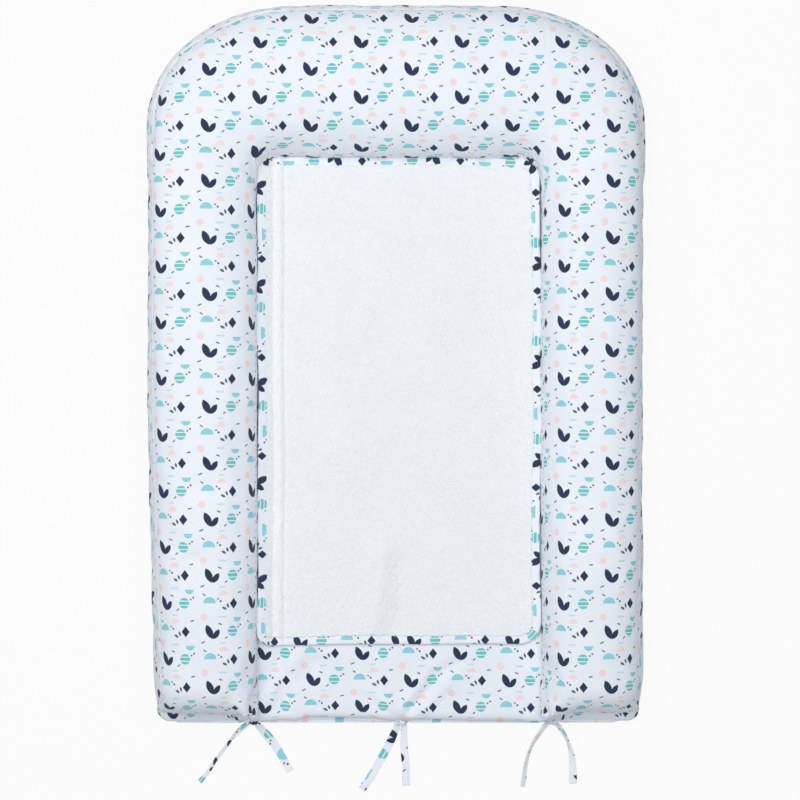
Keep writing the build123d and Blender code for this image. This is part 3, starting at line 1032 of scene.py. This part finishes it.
class Finish:
    """A material and short calls that add and join its nodes."""

    def __init__(self, name, roughness, sheen=0.0):
        self.material = bpy.data.materials.new(name)
        self.material.use_nodes = True
        self.tree = self.material.node_tree
        self.shader = self.tree.nodes["Principled BSDF"]
        self.shader.inputs["Roughness"].default_value = roughness
        self.shader.inputs["Sheen Weight"].default_value = sheen
        self.shader.inputs["Specular IOR Level"].default_value = 0.25

    def node(self, kind, *inputs, output=0, **settings):
        made = self.tree.nodes.new(kind)
        for key, value in settings.items():
            setattr(made, key, value)
        for index, value in enumerate(inputs):
            self.feed(made.inputs[index], value)
        return made.outputs[output]

    def feed(self, socket, value):
        if isinstance(value, bpy.types.NodeSocket):
            self.tree.links.new(value, socket)
        elif value is not None:
            socket.default_value = value

    def math(self, operation, *inputs, clamp=False):
        return self.node("ShaderNodeMath", *inputs, operation=operation, use_clamp=clamp)

    def vector(self, operation, *inputs, output=0):
        return self.node("ShaderNodeVectorMath", *inputs, operation=operation, output=output)

    def split(self, vector):
        made = self.tree.nodes.new("ShaderNodeSeparateXYZ")
        self.feed(made.inputs[0], vector)
        return made.outputs[0], made.outputs[1]

    def join(self, x, y):
        return self.node("ShaderNodeCombineXYZ", x, y)

    def noise(self, place, scale, detail=2.0, roughness=0.5):
        made = self.tree.nodes.new("ShaderNodeTexNoise")
        self.feed(made.inputs["Vector"], place)
        made.inputs["Scale"].default_value = scale
        made.inputs["Detail"].default_value = detail
        made.inputs["Roughness"].default_value = roughness
        return made.outputs["Fac"]

    def cells(self, place, scale, randomness=1.0):
        made = self.tree.nodes.new("ShaderNodeTexVoronoi")
        self.feed(made.inputs["Vector"], place)
        made.inputs["Scale"].default_value = scale
        made.inputs["Randomness"].default_value = randomness
        return made.outputs["Distance"]

    def mix(self, share, below, above):
        made = self.tree.nodes.new("ShaderNodeMix")
        made.data_type = "RGBA"
        self.feed(made.inputs[0], share)
        self.feed(made.inputs[6], below)
        self.feed(made.inputs[7], above)
        return made.outputs[2]

    def spread(self, value, low, high, out_low, out_high):
        return self.node("ShaderNodeMapRange", value, low, high, out_low, out_high)

    def bump(self, height, distance, strength=1.0, normal=None):
        made = self.tree.nodes.new("ShaderNodeBump")
        made.inputs["Strength"].default_value = strength
        made.inputs["Distance"].default_value = distance
        self.feed(made.inputs["Height"], height)
        self.feed(made.inputs["Normal"], normal)
        return made.outputs[0]

    def object_place(self):
        return self.node("ShaderNodeTexCoord", output=3)

    def colour(self, value):
        self.feed(self.shader.inputs["Base Color"], value)

    def surface(self, value):
        self.feed(self.shader.inputs["Normal"], value)


# The print's shapes. Each gives a distance in millimetres that is below 0 inside the shape.

def disc(finish, x, y, radius):
    return finish.math("SUBTRACT", finish.vector("LENGTH", finish.join(x, y), output=1), radius)


def half_disc(finish, x, y, radius):
    return finish.math("MAXIMUM", disc(finish, x, y, radius), finish.math("MULTIPLY", y, -1.0))


def leaf(finish, x, y, length, width):
    """A pointed leaf along y, where two large discs overlap."""
    half_length, half_width_mm = length / 2, width / 2
    radius = (half_length**2 + half_width_mm**2) / (2 * half_width_mm)
    offset = radius - half_width_mm
    shifted = finish.math("ADD", finish.math("ABSOLUTE", x), offset)
    return disc(finish, shifted, y, radius)


def diamond(finish, x, y, wide, tall):
    across = finish.math("MULTIPLY", finish.math("ABSOLUTE", x), 2 / wide)
    total = finish.math("MULTIPLY_ADD", finish.math("ABSOLUTE", y), 2 / tall, across)
    return finish.math("MULTIPLY", finish.math("SUBTRACT", total, 1.0), wide / 2.6)


def dash(finish, x, y, length, thickness):
    reach = (length - thickness) / 2
    beyond = finish.math("MAXIMUM", finish.math("SUBTRACT", finish.math("ABSOLUTE", x), reach), 0.0)
    return disc(finish, beyond, y, thickness / 2)


def striped_disc(finish, x, y, radius):
    """A disc with two thin bars left white."""
    wave = finish.math("COSINE", finish.math("MULTIPLY", y, 2 * math.pi / (radius * 0.8)))
    bars = finish.math("MULTIPLY", finish.math("ADD", wave, 0.72), 0.9)
    return finish.math("MAXIMUM", disc(finish, x, y, radius), finish.math("MULTIPLY", bars, -1.0))


NAVY = (47, 58, 84)
AQUA = (150, 214, 224)
MINT = (112, 202, 200)
PALE_AQUA = (198, 232, 238)
PINK = (250, 224, 221)
GREY = (92, 102, 120)

# The print repeats in columns, each let down by half a drop. A motif is a shape with its two sizes,
# its colour, its place in the column and its turn in degrees.
column_width = 50.0
drop = 56.0
motifs = [
    (leaf, (15.5, 7.0), NAVY, (12.0, 13.0), 24),
    (leaf, (11.5, 5.6), NAVY, (19.0, 10.6), -34),
    (diamond, (8.4, 11.0), NAVY, (37.5, 41.0), 0),
    (half_disc, (6.3,), AQUA, (12.5, 41.5), 0),
    (striped_disc, (5.3,), MINT, (36.5, 13.5), 0),
    (half_disc, (4.6,), AQUA, (42.0, 27.0), 180),
    (disc, (3.6,), PINK, (6.5, 28.0), 0),
    (half_disc, (4.6,), PINK, (26.5, 49.5), 0),
    (dash, (8.0, 1.8), PALE_AQUA, (25.5, 28.0), 0),
    (dash, (6.5, 1.6), PALE_AQUA, (25.5, 1.5), 0),
    (leaf, (5.6, 2.5), GREY, (27.5, 36.5), 62),
    (leaf, (5.0, 2.3), GREY, (31.2, 39.0), 20),
    (dash, (4.2, 1.3), GREY, (5.5, 2.5), 25),
    (dash, (3.8, 1.3), GREY, (23.0, 20.8), -20),
    (dash, (4.0, 1.3), GREY, (44.5, 52.0), 12),
    (disc, (1.1,), GREY, (23.8, 43.6), 0),
    (disc, (0.9,), GREY, (21.2, 45.8), 0),
    (disc, (1.0,), GREY, (46.0, 19.2), 0),
    (disc, (0.9,), GREY, (43.4, 17.2), 0),
    (dash, (3.6, 1.2), GREY, (7.0, 50.0), -35),
    (dash, (3.4, 1.2), GREY, (29.5, 7.0), 40),
]


def place_motif(finish, x, y, place, turn):
    """Coordinates round one motif, repeated down the column."""
    local_x = finish.math("SUBTRACT", x, place[0])
    shifted = finish.math("SUBTRACT", y, place[1])
    local_y = finish.math("WRAP", shifted, drop / 2, -drop / 2)
    if turn == 0:
        return local_x, local_y
    cos, sin = math.cos(math.radians(turn)), math.sin(math.radians(turn))
    turned_x = finish.math("MULTIPLY_ADD", local_x, cos, finish.math("MULTIPLY", local_y, sin))
    turned_y = finish.math("MULTIPLY_ADD", local_y, cos, finish.math("MULTIPLY", local_x, -sin))
    return turned_x, turned_y


def printed_cotton():
    """White cotton with a small printed pattern of leaves, domes and dots, and a plain weave."""
    finish = Finish("printed_cotton", 0.88, sheen=0.08)
    fabric = finish.node("ShaderNodeUVMap", uv_map="fabric")
    place = finish.vector("SCALE", fabric)
    place.node.inputs["Scale"].default_value = 1 / MM
    u, v = finish.split(place)
    column = finish.math("FLOOR", finish.math("DIVIDE", u, column_width))
    x = finish.math("SUBTRACT", u, finish.math("MULTIPLY", column, column_width))
    y = finish.math("ADD", v, finish.math("MULTIPLY", column, drop / 2))
    tone = finish.noise(place, 0.02, 3)
    colour = finish.mix(tone, linear(236, 240, 248), linear(247, 249, 254))
    ink_edge = 0.32
    for shape, sizes, ink, spot, turn in motifs:
        local_x, local_y = place_motif(finish, x, y, spot, turn)
        distance = shape(finish, local_x, local_y, *sizes)
        mask = finish.math("MULTIPLY_ADD", distance, -1 / ink_edge, 0.5, clamp=True)
        colour = finish.mix(mask, colour, linear(*ink))
    finish.colour(colour)
    thread = 2 * math.pi / 0.62
    warp = finish.math("SINE", finish.math("MULTIPLY", u, thread))
    weft = finish.math("SINE", finish.math("MULTIPLY", v, thread))
    weave = finish.math("MULTIPLY", warp, weft)
    creases = finish.noise(place, 0.055, 4, 0.55)
    soft = finish.bump(creases, 1.6 * MM, 0.5)
    finish.surface(finish.bump(weave, 0.05 * MM, 0.22, soft))
    return finish.material


def white_terry():
    """Cotton terry: short loops that lie in soft upright streaks."""
    finish = Finish("white_terry", 0.95, sheen=0.25)
    place = finish.object_place()
    streaked = finish.vector("MULTIPLY", place)
    streaked.node.inputs[1].default_value = (1, 0.3, 1)
    streaks = finish.noise(streaked, 520, 3, 0.6)
    loops = finish.cells(place, 620)
    fluff = finish.noise(place, 1500, 2, 0.6)
    patches = finish.noise(place, 22, 3)
    deep = finish.spread(loops, 0.15, 0.75, 1.0, 0.0)
    lit = finish.math("MULTIPLY_ADD", streaks, 0.6, finish.math("MULTIPLY", deep, 0.4))
    shade = finish.math("MULTIPLY_ADD", patches, 0.35, finish.math("MULTIPLY", lit, 0.65))
    finish.colour(finish.mix(shade, linear(240, 243, 246), linear(254, 254, 255)))
    rough = finish.bump(streaks, 0.8 * MM, 0.6)
    looped = finish.bump(deep, 0.7 * MM, 0.6, rough)
    finish.surface(finish.bump(fluff, 0.3 * MM, 0.5, looped))
    return finish.material


def white_vinyl():
    """Wipe-clean white vinyl with a fine pebble grain."""
    finish = Finish("white_vinyl", 0.42)
    place = finish.object_place()
    grain = finish.cells(place, 900)
    tone = finish.noise(place, 8, 3)
    finish.colour(finish.mix(tone, linear(236, 238, 240), linear(246, 247, 248)))
    finish.surface(finish.bump(grain, 0.12 * MM, 0.6))
    return finish.material


def white_wadding():
    """Open-cell foam and wadding, off-white and slightly pitted."""
    finish = Finish("white_wadding", 0.97)
    place = finish.object_place()
    pits = finish.cells(place, 420)
    fluff = finish.noise(place, 90, 4, 0.65)
    finish.colour(finish.mix(fluff, linear(228, 228, 222), linear(244, 244, 240)))
    uneven = finish.bump(fluff, 1.5 * MM, 0.7)
    finish.surface(finish.bump(pits, 0.5 * MM, 0.6, uneven))
    return finish.material


def hook_and_loop():
    """White fastener tape: rows of small hooks on a woven ground."""
    finish = Finish("hook_and_loop", 0.7)
    place = finish.object_place()
    x, y = finish.split(place)
    pitch = 2 * math.pi / (1.5 * MM)
    rows = finish.math("SINE", finish.math("MULTIPLY", x, pitch))
    hooks = finish.math("MULTIPLY", rows, finish.math("SINE", finish.math("MULTIPLY", y, pitch)))
    raised = finish.spread(hooks, 0.1, 0.8, 0.0, 1.0)
    # The tape is painted darker on the low ground between the hooks and lighter on the raised hooks:
    # painted shade in the hollows, following the bump.
    finish.colour(finish.mix(raised, linear(226, 229, 233), linear(246, 247, 249)))
    finish.surface(finish.bump(raised, 0.5 * MM, 0.8))
    return finish.material


def studio():
    """A white floor and world, a broad light from the upper left, and a cool even fill."""
    size = 6.0
    corners = [(-size, -size, 0), (size, -size, 0), (size, size, 0), (-size, size, 0)]
    floor = new_object("floor", corners, [(0, 1, 2, 3)])
    floor.location.z = -0.3 * MM
    ground = bpy.data.materials.new("floor")
    ground.use_nodes = True
    nodes, links = ground.node_tree.nodes, ground.node_tree.links
    plain = nodes["Principled BSDF"]
    plain.inputs["Base Color"].default_value = floor_colour
    plain.inputs["Roughness"].default_value = 0.9
    glow = nodes.new("ShaderNodeEmission")
    rays = nodes.new("ShaderNodeLightPath")
    seen = nodes.new("ShaderNodeMath")
    seen.operation, seen.use_clamp = "ADD", True
    links.new(rays.outputs["Is Camera Ray"], seen.inputs[0])
    links.new(rays.outputs["Is Glossy Ray"], seen.inputs[1])
    share = nodes.new("ShaderNodeMath")
    share.operation = "MULTIPLY"
    share.inputs[1].default_value = floor_whiteness
    links.new(seen.outputs[0], share.inputs[0])
    blend = nodes.new("ShaderNodeMixShader")
    links.new(share.outputs[0], blend.inputs[0])
    links.new(plain.outputs[0], blend.inputs[1])
    links.new(glow.outputs[0], blend.inputs[2])
    links.new(blend.outputs[0], nodes["Material Output"].inputs["Surface"])
    floor.data.materials.append(ground)

    world = bpy.data.worlds.new("world")
    scene.world = world
    world.use_nodes = True
    nodes, links = world.node_tree.nodes, world.node_tree.links
    fill = nodes["Background"]
    fill.inputs["Color"].default_value = fill_colour
    fill.inputs["Strength"].default_value = fill_strength
    white = nodes.new("ShaderNodeBackground")
    white.inputs["Color"].default_value = (1, 1, 1, 1)
    rays = nodes.new("ShaderNodeLightPath")
    blend = nodes.new("ShaderNodeMixShader")
    links.new(rays.outputs["Is Camera Ray"], blend.inputs[0])
    links.new(fill.outputs[0], blend.inputs[1])
    links.new(white.outputs[0], blend.inputs[2])
    links.new(blend.outputs[0], nodes["World Output"].inputs["Surface"])
    scene.view_settings.view_transform = "Standard"
    soft_light("key", (-0.75, 0.55, 2.15), (0, 0, 0), 1.3, key_power, (1.0, 0.99, 0.97))
    soft_light("overhead", (0.2, 0.1, 2.3), (0, 0, 0), 2.2, overhead_power, (0.97, 0.985, 1.0))


# ---------------------------------------------------------------- inner pieces

def under_cover(x, y, depth):
    """A height some way under the cover, also where the stuffed cotton draws in from the well and foot."""
    reach = 9 * MM
    towards_well = pad_height(x - reach * np.sign(x - towel_shift), y)
    towards_foot = pad_height(x, y - reach)
    lowest = np.minimum(pad_height(x, y), np.minimum(towards_well, towards_foot))
    return np.clip(lowest - depth, back_seam_z / 2, pad_top)


def make_skin(name, inset, upper):
    """Half of the mat's vinyl skin, which follows the pad's form some way in."""
    spacing = 9 * MM
    line, normals, _ = pad_outline(spacing)
    seam_z = back_seam_z
    rows = []
    steps = [0.0, 0.25, 0.5, 0.75] if upper else [0.0, 0.4, 0.75, 1.0]
    for share in steps:
        if upper:
            reach = inset + heel_inset * (1 - share) + 7 * MM * share**3
            plan = drawn_in(line, normals, reach)
            crown_z = under_cover(plan[:, 0], plan[:, 1], inset)
            z = seam_z + (np.maximum(crown_z, seam_z) - seam_z) * share
        else:
            turn = share * math.pi / 2
            reach = inset + heel_inset + (heel_reach - heel_inset) * math.sin(turn) ** 2
            plan = drawn_in(line, normals, reach)
            z = np.full(len(plan), inset + (seam_z - inset) * (1 - math.sin(turn)))
        rows.append(np.column_stack([plan, z]))
    last = rows[-1][:, :2]
    inner = loose_points(last, spacing, lambda grid: side_distance(*grid.T) > 2 * MM)
    inner_z = under_cover(*inner.T, inset) if upper else np.full(len(inner), inset)
    points = np.vstack([*rows, np.column_stack([inner, inner_z])])
    count = len(line)
    nxt = np.roll(np.arange(count), -1)
    faces = []
    for row in range(len(rows) - 1):
        low, high = row * count + np.arange(count), (row + 1) * count + np.arange(count)
        quads = np.column_stack([low, low[nxt], high[nxt], high])
        faces += (quads if upper else quads[:, ::-1]).tolist()
    names = np.concatenate([
        (len(rows) - 1) * count + np.arange(count), len(rows) * count + np.arange(len(inner))
    ])
    flat = names[triangulate(last, inner)]
    faces += (flat if upper else flat[:, ::-1]).tolist()
    skin = new_object(name, leaned(points), faces)
    thick = skin.modifiers.new("vinyl", "SOLIDIFY")
    thick.thickness = 0.6 * MM
    thick.offset = -1
    return skin


def stuffed_copy(name, node, shrink, voxel=6 * MM):
    """A softened copy of a plain filling, drawn in from the skin round it."""
    filling = bpy.data.objects.new(name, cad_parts[node].data.copy())
    filling.data.materials.clear()
    scene.collection.objects.link(filling)
    for kind, values in (
        ("REMESH", {"mode": "VOXEL", "voxel_size": voxel}),
        ("DISPLACE", {"strength": -shrink, "mid_level": 0}),
        ("SMOOTH", {"iterations": 6, "factor": 0.5}),
    ):
        modifier = filling.modifiers.new(kind.lower(), kind)
        for key, value in values.items():
            setattr(modifier, key, value)
    graph = bpy.context.evaluated_depsgraph_get()
    shaped = bpy.data.meshes.new_from_object(filling.evaluated_get(graph))
    filling.modifiers.clear()
    filling.data = shaped
    places = np.zeros(len(shaped.vertices) * 3)
    shaped.vertices.foreach_get("co", places)
    x, y, z = places.reshape(-1, 3).T
    lowered = np.minimum(z, under_cover(x, y, shrink + 4 * MM))
    shaped.vertices.foreach_set("co", leaned(np.column_stack([x, y, lowered])).ravel())
    shaped.update()
    shaped.polygons.foreach_set("use_smooth", [True] * len(shaped.polygons))
    return filling


# ---------------------------------------------------------------- everything in place

# Each tie's route from its knot, as in the CAD: across, out from the knot's face and up, in millimetres.
# Then its turn and its folded width along its length, and how far along the print it was cut.
tie_facts = {
    "tie_left_upper": ("knot_left", [
        (5, -3, 9), (13, 6, 5.5), (22.5, 18, 2), (31, 32, 1.2), (39.5, 47, 1.2),
    ], [(0, 10), (0.4, -8), (1, 4)], [(0, 0.75), (0.25, 1), (1, 1)], (0.02, 0.013)),
    "tie_left_lower": ("knot_left", [
        (-5, -3, 6), (-17, 7, 4.2), (-27.5, 22, 3.4), (-38, 36, 3.2), (-45.5, 48, 2.6), (-54, 58, 2.2),
    ], [(0, 30), (0.3, 62), (0.8, 58), (1, 40)], [(0, 0.7), (0.5, 0.75), (1, 0.8)], (0.11, 0.04)),
    "tie_middle_upper": ("knot_middle", [
        (-3, -3, 9), (-8, 9, 5.6), (-14, 22, 2.2), (-23, 38, 1.2), (-31, 53, 1.2), (-41, 65.8, 1.2),
    ], [(0, -20), (0.3, 0), (0.75, 6), (1, -14)], [(0, 0.8), (0.3, 1), (1, 1)], (0.2, 0.008)),
    "tie_middle_lower": ("knot_middle", [
        (3, -3, 6), (2.5, 9, 3), (3, 26, 1.2), (5.5, 45, 1.2), (5, 62, 1.2),
    ], [(0, 25), (0.4, 6), (1, -4)], [(0, 0.7), (0.4, 0.92), (1, 0.95)], (0.33, 0.03)),
    "tie_right_upper": ("knot_right", [
        (-5, -3, 9), (-13, 8, 5.5), (-20.5, 20, 3.4), (-26, 36, 2.6), (-28, 50, 2.2), (-29.5, 63, 2),
    ], [(0, -30), (0.5, -55), (1, -35)], [(0, 0.7), (0.5, 0.72), (1, 0.85)], (0.46, 0.02)),
    "tie_right_lower": ("knot_right", [
        (5, -3, 6), (13, 6, 4.4), (19.5, 21, 3.6), (23, 40, 2), (22.5, 60, 1.2),
    ], [(0, 40), (0.35, 70), (0.75, 20), (1, 6)], [(0, 0.7), (0.6, 0.9), (1, 1)], (0.6, 0.045)),
}


def tie_route(knot_name, steps):
    low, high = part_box(knot_name)
    middle = (low.x + high.x) / 2
    return [(middle + x * MM, low.y - y * MM, z * MM) for x, y, z in steps]


def give(piece, material, body="mat", stands_for=()):
    piece.data.materials.clear()
    piece.data.materials.append(material)
    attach(piece, body)
    if stands_for:
        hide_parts(*stands_for)
    return piece


make_camera()
studio()
cotton, terry_cloth = printed_cotton(), white_terry()
vinyl, wadding, tape = white_vinyl(), white_wadding(), hook_and_loop()

# Ties and knots
for number, knot_name in enumerate(knot_names):
    knot = make_knot(knot_name.replace("knot", "tied_knot"), *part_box(knot_name), number)
    give(knot, cotton, stands_for=[knot_name])
for tie_name, (knot_name, steps, turns, narrow, cut) in tie_facts.items():
    line = route_line(tie_route(knot_name, steps))
    ribbon_name = tie_name.replace("tie", "ribbon")
    ribbon, centres = make_tie(ribbon_name, line, turns, narrow, cut)
    give(ribbon, cotton, stands_for=[tie_name])

# Cover
cover = make_cover()
for name, node in (
    ("cover_top", "cover_top_panel"), ("cover_band", "cover_side_band"),
    ("cover_back", "cover_back_panel"),
):
    give(cover[name], cotton, stands_for=[node])
hem_upper = make_hem("hem_upper", upper_hem_low, upper_hem_high, 71, 2.2 * MM, 1)
hem_lower = make_hem("hem_lower", lower_hem_low, lower_hem_high, 81, 4.0 * MM, 0.4)
give(hem_upper, cotton, stands_for=["cover_upper_hem"])
give(hem_lower, cotton, stands_for=["cover_lower_hem"])

# Towel
terry = give(make_terry(), terry_cloth, "towel", ["towel_terry"])
binding = give(make_binding(), cotton, "towel", ["towel_binding"])

# Fastener tabs keep their CAD shape
for node in ("cover_loop_tabs", "towel_hook_tabs"):
    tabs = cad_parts[node]
    tabs.data.materials.clear()
    tabs.data.materials.append(tape)

# Mat inside the cover
skin_top = make_skin("skin_top", 4.5 * MM, True)
skin_bottom = make_skin("skin_bottom", 3 * MM, False)
give(skin_top, vinyl, stands_for=["mat_top_skin"])
give(skin_bottom, vinyl, stands_for=["mat_bottom_skin"])
for name, node in (
    ("base_pad", "mat_base_pad"), ("left_bolster", "mat_left_bolster"),
    ("right_bolster", "mat_right_bolster"), ("head_bolster", "mat_head_bolster"),
):
    filling = stuffed_copy(name, node, 4 * MM)
    give(filling, wadding, stands_for=[node])
